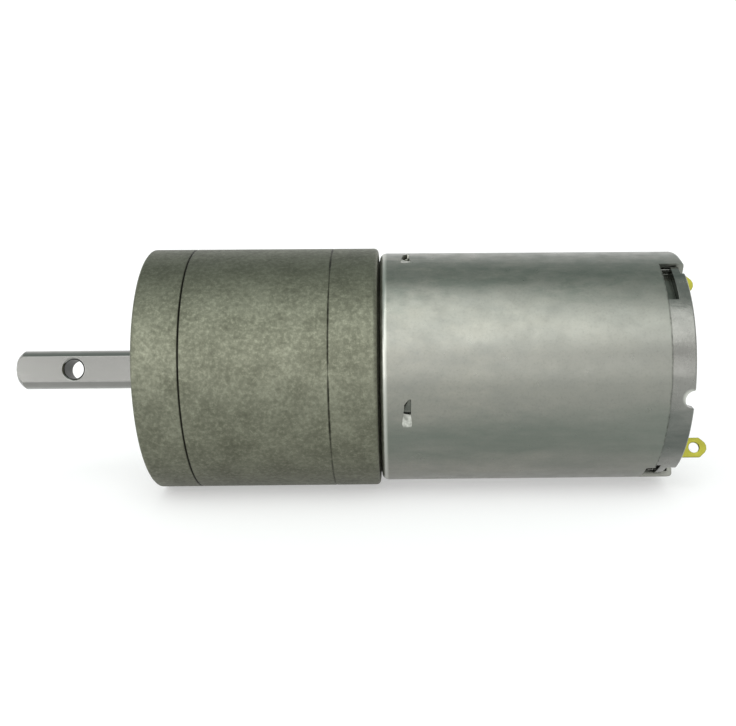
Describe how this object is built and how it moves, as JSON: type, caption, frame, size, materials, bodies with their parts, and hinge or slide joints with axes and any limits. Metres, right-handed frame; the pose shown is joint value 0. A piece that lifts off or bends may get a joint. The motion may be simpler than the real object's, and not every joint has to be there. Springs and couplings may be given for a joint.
{
  "type": "geared dc motor",
  "caption": "Round brushed DC motor with an in-line planetary gearbox, a cross-drilled double-flat output shaft and solder terminals.",
  "frame": {"origin": "centre of the front mounting face, on the shaft axis", "axes": "-X along the output shaft, out of the front face; +X towards the motor and its terminals; the locking tabs of the can lie at +Z and -Z"},
  "size_m": [0.1072, 0.037, 0.037],
  "materials": {
    "sintered_steel": "matt, finely grained",
    "screw_steel": "zinc plated",
    "washer_steel": "satin",
    "bearing_steel": "polished",
    "cage_brass": "satin",
    "ground_shaft": "ground smooth",
    "spring_steel": "blackened",
    "carrier_steel": "sintered, satin",
    "gear_steel": "hardened, satin",
    "pinion_brass": "satin",
    "fibre_washer": "matt",
    "lamination_steel": "satin, layered",
    "red_fibre": "matt",
    "enamelled_copper": "glossy enamel on copper",
    "phenolic": "matt",
    "commutator_copper": "turned",
    "ferrite": "matt",
    "plated_can": "matt plated",
    "sintered_bronze": "porous, oily",
    "plated_cap": "bright plated",
    "brush_carbon": "matt",
    "spring_bronze": "satin",
    "terminal_brass": "satin",
    "white_insulator": "matt"
  },
  "bodies": {
    "housing": {"front_flange": "sintered_steel", "ring_gear": "sintered_steel", "rear_flange": "sintered_steel", "gearbox_screws": "screw_steel", "motor_screws": "screw_steel", "thrust_washer": "washer_steel", "bearing_outer_race": "bearing_steel", "bearing_shields": "washer_steel", "motor_can": "plated_can", "front_bush": "sintered_bronze", "magnet_1": "ferrite", "magnet_2": "ferrite", "magnet_springs": "spring_steel", "end_cap": "plated_cap", "rear_bush": "sintered_bronze", "brush_holder": "phenolic", "brush_1": "brush_carbon", "brush_2": "brush_carbon", "brush_arm_1": "spring_bronze", "brush_arm_2": "spring_bronze", "terminal_1": "terminal_brass", "terminal_2": "terminal_brass", "terminal_insulators": "white_insulator"},
    "output": {"output_shaft": "ground_shaft", "shaft_retaining_ring": "spring_steel", "bearing_inner_race": "bearing_steel", "bearing_spacer": "washer_steel", "output_carrier": "carrier_steel", "stage2_pins": "bearing_steel"},
    "ball_cage": {"bearing_balls": "bearing_steel", "bearing_cage": "cage_brass"},
    "stage2_planet_a": {"stage2_planet_1": "gear_steel"},
    "stage2_planet_b": {"stage2_planet_2": "gear_steel"},
    "stage2_planet_c": {"stage2_planet_3": "gear_steel"},
    "stage1": {"stage1_carrier": "carrier_steel", "stage2_sun_gear": "gear_steel", "stage1_pins": "bearing_steel"},
    "stage1_planet_a": {"stage1_planet_1": "gear_steel"},
    "stage1_planet_b": {"stage1_planet_2": "gear_steel"},
    "stage1_planet_c": {"stage1_planet_3": "gear_steel"},
    "armature": {"motor_pinion": "pinion_brass", "motor_shaft": "ground_shaft", "shaft_washers": "fibre_washer", "laminations": "lamination_steel", "end_insulators": "red_fibre", "windings": "enamelled_copper", "commutator_hub": "phenolic", "commutator_segments": "commutator_copper", "varistor_ring": "ferrite"}
  },
  "joints": [
    {"name": "output_spin", "type": "hinge", "parent": "housing", "child": "output", "pos_m": [0, 0, 0], "axis": [1, 0, 0], "continuous": true},
    {"name": "ball_cage_spin", "type": "hinge", "parent": "housing", "child": "ball_cage", "pos_m": [0.0033, 0, 0], "axis": [1, 0, 0], "continuous": true},
    {"name": "stage1_spin", "type": "hinge", "parent": "housing", "child": "stage1", "pos_m": [0.0189, 0, 0], "axis": [1, 0, 0], "continuous": true},
    {"name": "armature_spin", "type": "hinge", "parent": "housing", "child": "armature", "pos_m": [0.0545, 0, 0], "axis": [1, 0, 0], "continuous": true},
    {"name": "stage2_planet_a_spin", "type": "hinge", "parent": "output", "child": "stage2_planet_a", "pos_m": [0.0139, 0.009, 0], "axis": [1, 0, 0], "continuous": true},
    {"name": "stage2_planet_b_spin", "type": "hinge", "parent": "output", "child": "stage2_planet_b", "pos_m": [0.0139, -0.0045, 0.00779], "axis": [1, 0, 0], "continuous": true},
    {"name": "stage2_planet_c_spin", "type": "hinge", "parent": "output", "child": "stage2_planet_c", "pos_m": [0.0139, -0.0045, -0.00779], "axis": [1, 0, 0], "continuous": true},
    {"name": "stage1_planet_a_spin", "type": "hinge", "parent": "stage1", "child": "stage1_planet_a", "pos_m": [0.0231, 0.009, 0], "axis": [1, 0, 0], "continuous": true},
    {"name": "stage1_planet_b_spin", "type": "hinge", "parent": "stage1", "child": "stage1_planet_b", "pos_m": [0.0231, -0.0045, 0.00779], "axis": [1, 0, 0], "continuous": true},
    {"name": "stage1_planet_c_spin", "type": "hinge", "parent": "stage1", "child": "stage1_planet_c", "pos_m": [0.0231, -0.0045, -0.00779], "axis": [1, 0, 0], "continuous": true}
  ],
  "couplings": [
    {"joint": "ball_cage_spin", "follows": "output_spin", "ratio": 0.4},
    {"joint": "stage1_spin", "follows": "output_spin", "ratio": 4},
    {"joint": "armature_spin", "follows": "output_spin", "ratio": 16},
    {"joint": "stage2_planet_a_spin", "follows": "output_spin", "ratio": -3},
    {"joint": "stage2_planet_b_spin", "follows": "output_spin", "ratio": -3},
    {"joint": "stage2_planet_c_spin", "follows": "output_spin", "ratio": -3},
    {"joint": "stage1_planet_a_spin", "follows": "output_spin", "ratio": -12},
    {"joint": "stage1_planet_b_spin", "follows": "output_spin", "ratio": -12},
    {"joint": "stage1_planet_c_spin", "follows": "output_spin", "ratio": -12}
  ]
}
